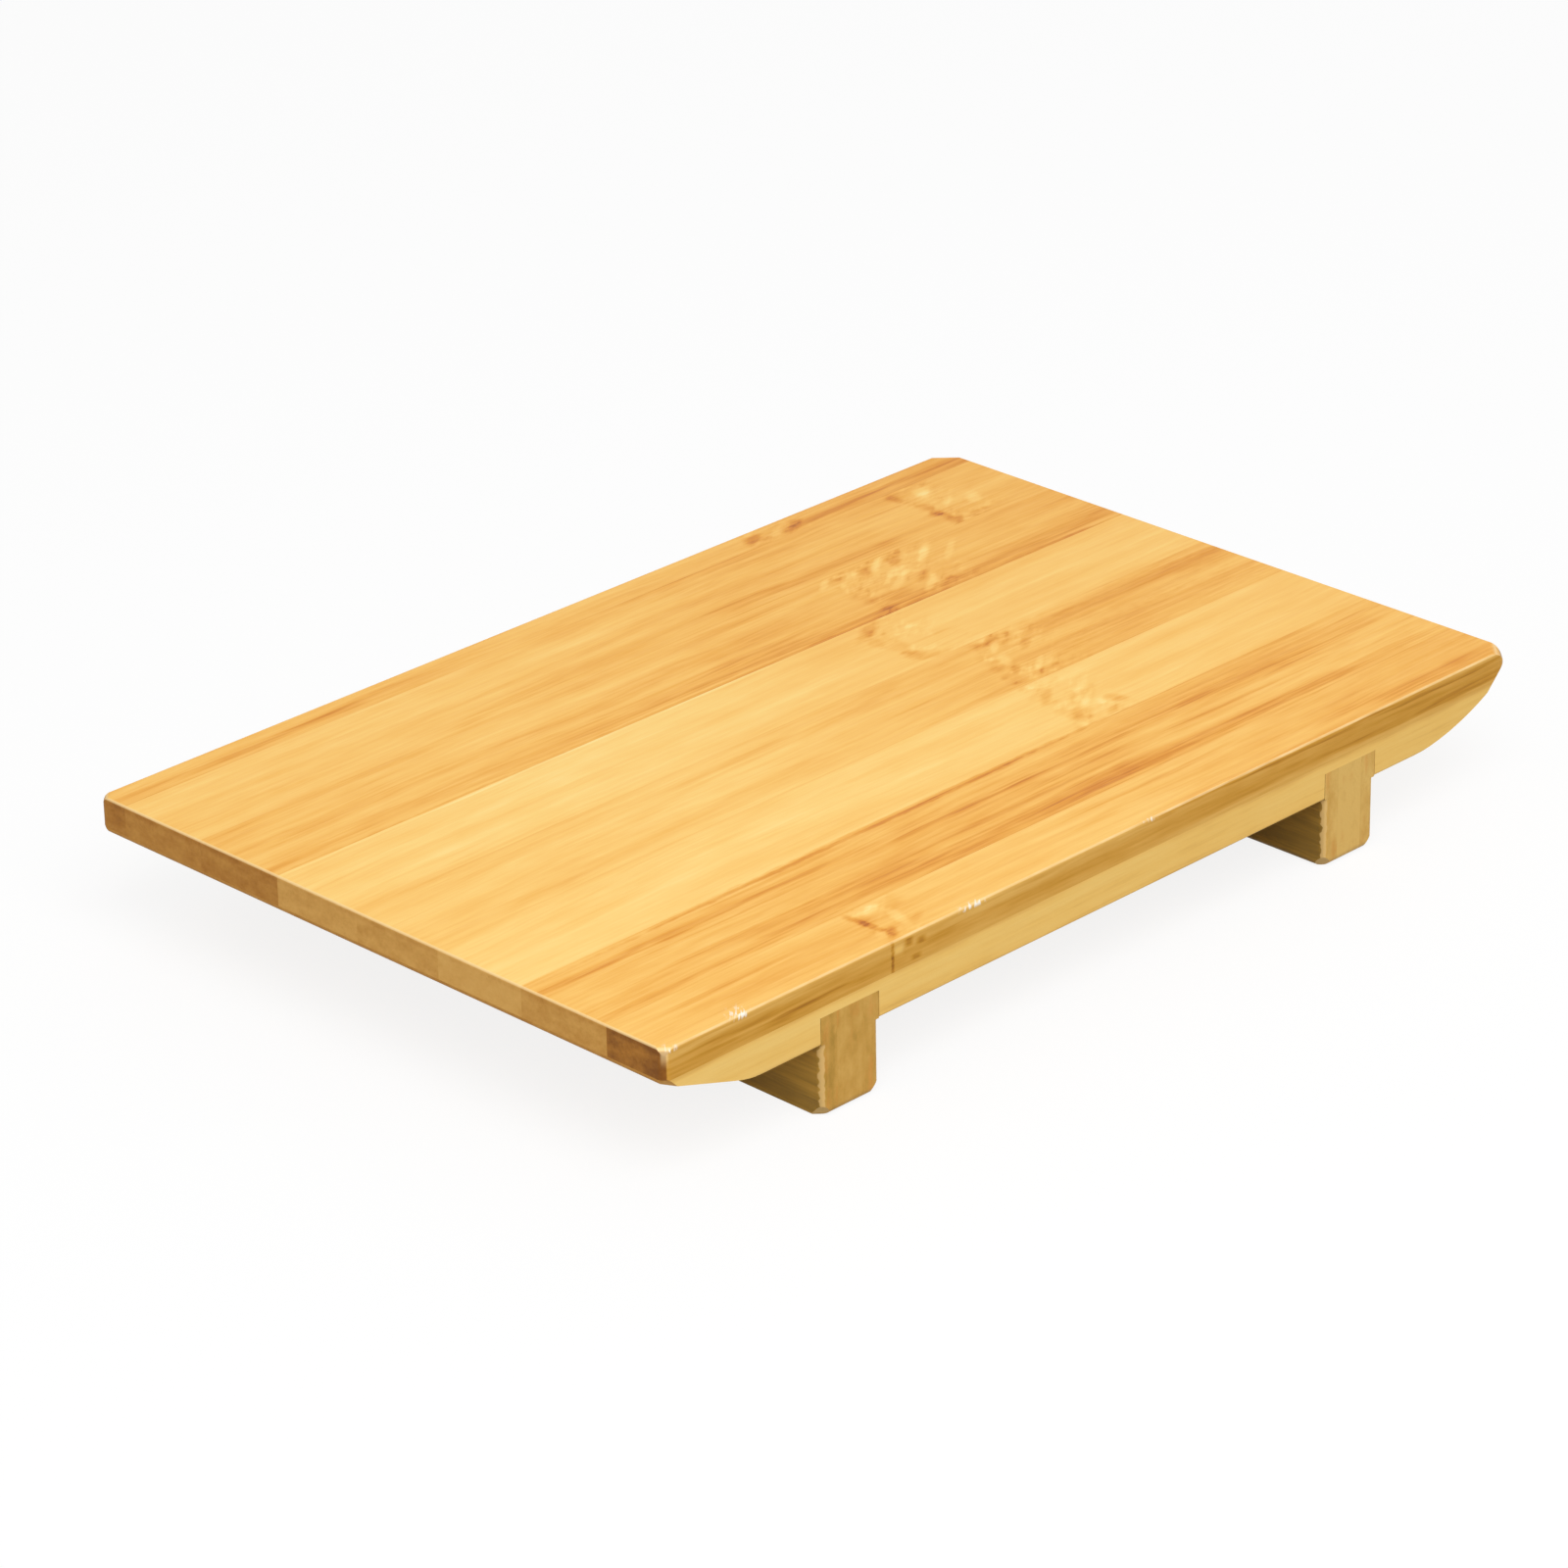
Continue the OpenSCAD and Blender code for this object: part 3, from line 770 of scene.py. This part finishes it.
def dress_lamination(name, seed, face_tone, end_tone):
    """Fibres run along y. Its ends show upright bands, and a painted highlight lies along its upright
    arrises.
    """
    wood = Bamboo(name, (1, 2, 0), seed)
    g = wood.g
    relief = wood.figure()
    side_or_foot = g.blend(g.smooth(wood.to_edge, *FOOT_TURNED), face_tone, FOOT_TONE)
    face = g.ramp(g.total(side_or_foot, relief), LEG_TONES)
    end = lamination_end(wood, end_tone)
    colour = g.blend_colour(g.smooth(wood.to_end, *LEG_END_TURNED), face, end)
    # A ragged pale strip on the upright arrises: a painted highlight
    ragged = g.noise(g.join(g.product(wood.across, 1 / LEG_ARRIS_GRAIN), LEG_ARRIS_SALT, wood.seed), 1.0)
    turned = g.math("MULTIPLY_ADD", ragged, LEG_ARRIS_RAGGED, wood.to_face)
    arris = on_arris(g, turned, wood.to_end, LEG_ARRIS)
    colour = g.blend_colour(g.product(arris, LEG_ARRIS_SHARE), colour, linear(LEG_ARRIS_HIGHLIGHT))
    return finish(wood, colour, relief)


def lamination_end(wood, end_tone):
    """The colour of a lamination's end: upright bands and patches, stained a warmer orange here and there."""
    g = wood.g
    upright, sideways = per(*BAND_GRAIN)
    bands = g.noise(g.join(g.product(wood.across, upright), g.product(wood.deep, sideways), wood.seed))
    patches = g.noise(g.scaled(wood.still, per(*LEG_PATCH_GRAIN), (wood.seed, 0, 0)), LEG_PATCH_DETAIL)
    tone = g.total(end_tone, g.product(bands, BAND_DEPTH), g.product(patches, LEG_PATCH_DEPTH))
    end = end_grain(wood, tone, LEG_TONES)
    stain = g.noise(g.scaled(wood.still, per(*WARM_GRAIN), (WARM_SALT, wood.seed, 0)))
    return g.blend_colour(g.product(g.smooth(stain, *WARM_RANGE), WARM_SHARE), end, linear(LEG_ORANGE))


def place_camera():
    data = bpy.data.cameras.new("camera")
    data.lens = CAMERA_LENS
    data.sensor_width = CAMERA_SENSOR
    data.clip_start, data.clip_end = CAMERA_CLIP
    camera = bpy.data.objects.new("camera", data)
    turned = (Matrix.Rotation(math.radians(CAMERA_TURN), 4, "Z")
              @ Matrix.Rotation(math.radians(90 - CAMERA_DROP), 4, "X")
              @ Matrix.Rotation(math.radians(-CAMERA_ROLL), 4, "Z"))
    camera.matrix_world = Matrix.Translation(Vector(CAMERA_SPOT) * MM) @ turned
    bpy.context.scene.collection.objects.link(camera)
    bpy.context.scene.camera = camera


def add_lamp(name, towards, share):
    """A square soft lamp. share is what it adds on a face at the origin that is turned to it."""
    data = bpy.data.lights.new(name, "AREA")
    data.shape = "SQUARE"
    data.size = LAMP_SIDE
    data.energy = share * math.pi ** 2 * LAMP_AWAY ** 2
    lamp = bpy.data.objects.new(name, data)
    towards = Vector(towards).normalized()
    lamp.location = towards * LAMP_AWAY
    lamp.rotation_euler = towards.to_track_quat("Z", "Y").to_euler()
    bpy.context.scene.collection.objects.link(lamp)


def seen_directly(g):
    """1 for what the camera sees, also in gloss or through glass, and 0 for light that is scattered."""
    path = g.node("LightPath").outputs
    return g.math("MAXIMUM", path["Is Camera Ray"],
                  g.math("MAXIMUM", path["Is Glossy Ray"], path["Is Transmission Ray"]))


def light_world():
    world = bpy.data.worlds.new("studio")
    world.use_nodes = True
    bpy.context.scene.world = world
    g = Graph(world.node_tree)
    strength = g.blend(seen_directly(g), AMBIENT_SHARE, 1.0)
    background = g.node("Background", {"Color": (1, 1, 1, 1), "Strength": strength})
    g.feed(g.node("OutputWorld").inputs["Surface"], background.outputs[0])


def lay_floor():
    """A pale floor, white to the camera but for the board's soft shadow, and open from below."""
    half = FLOOR_SIDE * MM / 2
    mesh = bpy.data.meshes.new("floor")
    mesh.from_pydata([(-half, -half, 0), (half, -half, 0), (half, half, 0), (-half, half, 0)], [],
                     [(0, 1, 2, 3)])
    floor = bpy.data.objects.new("floor", mesh)
    bpy.context.scene.collection.objects.link(floor)
    material = bpy.data.materials.new("pale_floor")
    material.use_nodes = True
    g = Graph(material.node_tree)
    seen = seen_directly(g)
    grey = g.blend(seen, BOUNCE_GREY, FLOOR_WHITE)
    paint = g.node("BsdfDiffuse", {"Color": g.join(grey, grey, grey)})
    glow = g.node("Emission", {"Color": (1, 1, 1, 1), "Strength": 1.0})
    lit = g.node("MixShader", {0: g.product(seen, 1 - SHADOW_DEPTH), 1: paint.outputs[0],
                               2: glow.outputs[0]})
    clear = g.node("BsdfTransparent")
    below = g.node("NewGeometry").outputs["Backfacing"]
    both = g.node("MixShader", {0: below, 1: lit.outputs[0], 2: clear.outputs[0]})
    g.feed(g.node("OutputMaterial").inputs["Surface"], both.outputs[0])
    mesh.materials.append(material)


def dress(name, material):
    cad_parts[name].material_slots[0].material = material


place_camera()
bpy.context.scene.view_settings.view_transform = "Standard"
light_world()
add_lamp("key", *KEY)
add_lamp("fill", *FILL)
lay_floor()

for i, stave in enumerate(TOP_STAVES, start=1):
    name = f"top_stave_{i}"
    dress(name, dress_top_stave(name, stave, float(i), near=i == len(TOP_STAVES)))
for i, tone in enumerate(BOTTOM_TONES, start=1):
    name = f"bottom_stave_{i}"
    dress(name, dress_bottom_stave(name, BOTTOM_SEED + i, tone))
for k, (side, face_tone, end_tones) in enumerate(LEGS):
    for j, (layer, end_tone) in enumerate(zip(LAMINATIONS, end_tones)):
        name = f"{side}_leg_{layer}_lamination"
        seed = LEG_SEED + len(LAMINATIONS) * k + j
        dress(name, dress_lamination(name, seed, face_tone, end_tone))
